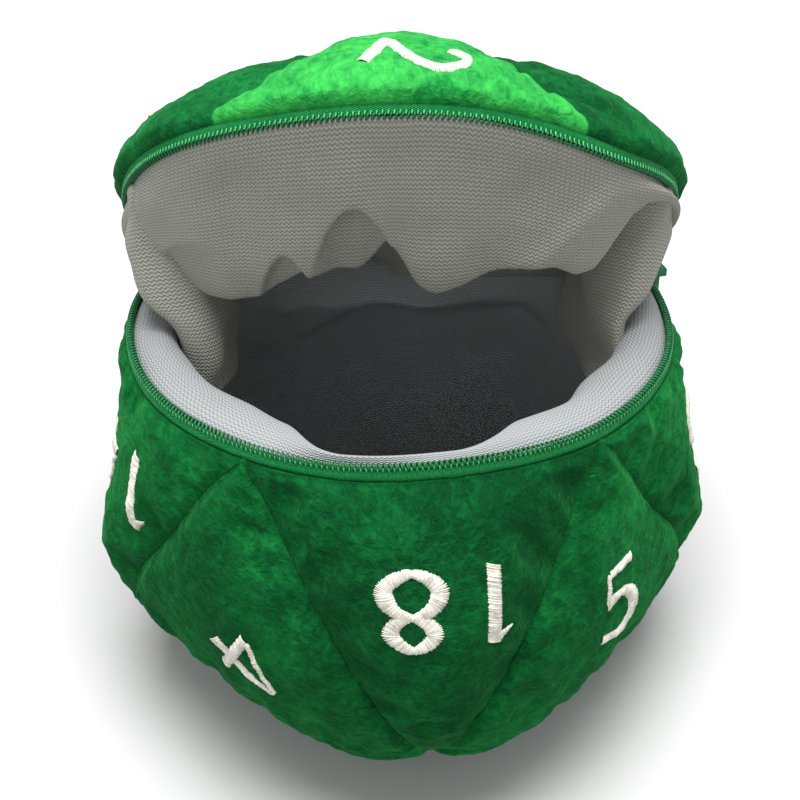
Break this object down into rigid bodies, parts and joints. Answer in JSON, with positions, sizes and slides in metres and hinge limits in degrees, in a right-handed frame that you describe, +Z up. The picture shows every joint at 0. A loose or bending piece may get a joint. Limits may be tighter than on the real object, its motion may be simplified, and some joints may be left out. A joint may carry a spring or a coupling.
{
  "type": "dice bag",
  "caption": "Plush dice bag in the shape of a twenty-sided die, with numbered panels, a mesh lining and a zipped lid that swings back.",
  "frame": {"origin": "under the middle of the bag, on the surface that it stands on", "axes": "+Z up, -Y towards the front of the mouth, the lid hinge lies along X at the back"},
  "size_m": [0.162, 0.156, 0.1764],
  "materials": {
    "plush": "short-pile plush",
    "wadding": "fibre wadding",
    "lining": "warp-knitted polyester mesh",
    "zipper_tape": "knitted zipper tape",
    "zipper_coil": "moulded nylon coil",
    "slider_metal": "satin enamel"
  },
  "bodies": {
    "body": {"panel_18": "plush", "panel_14": "plush", "panel_16": "plush", "panel_17": "plush", "panel_15": "plush", "panel_04": "plush", "panel_05": "plush", "panel_07": "plush", "panel_03": "plush", "panel_06": "plush", "panel_11": "plush", "panel_13": "plush", "panel_01": "plush", "panel_19": "plush", "panel_09": "plush", "body_padding": "wadding", "body_liner": "lining", "zipper_tape_body": "zipper_tape", "zipper_coil_body": "zipper_coil", "zipper_top_stop_body": "slider_metal", "zipper_bottom_stop": "slider_metal", "hinge_strip": "zipper_tape"},
    "lid": {"lid_panel_02": "plush", "lid_panel_20": "plush", "lid_panel_08": "plush", "lid_panel_10": "plush", "lid_panel_12": "plush", "lid_padding": "wadding", "lid_liner": "lining", "zipper_tape_lid": "zipper_tape", "zipper_coil_lid": "zipper_coil", "zipper_top_stop_lid": "slider_metal"},
    "slider": {"zipper_slider": "slider_metal"},
    "pull": {"zipper_pull": "slider_metal"}
  },
  "joints": [
    {"name": "lid_hinge", "type": "hinge", "parent": "body", "child": "lid", "pos_m": [0, 0.0515, 0.0842], "axis": [-1, 0, 0], "range_deg": [-42.3, 60], "deforming": ["lid_liner"]},
    {"name": "slider_travel", "type": "hinge", "parent": "body", "child": "slider", "pos_m": [0, 0.01747, 0.09237], "axis": [0, 0.2334, 0.9724], "range_deg": [-216, 0]},
    {"name": "pull_swing", "type": "hinge", "parent": "slider", "child": "pull", "pos_m": [0.07133, 0.04, 0.08696], "axis": [0, 0.2334, 0.9724], "range_deg": [-170, 0]}
  ]
}
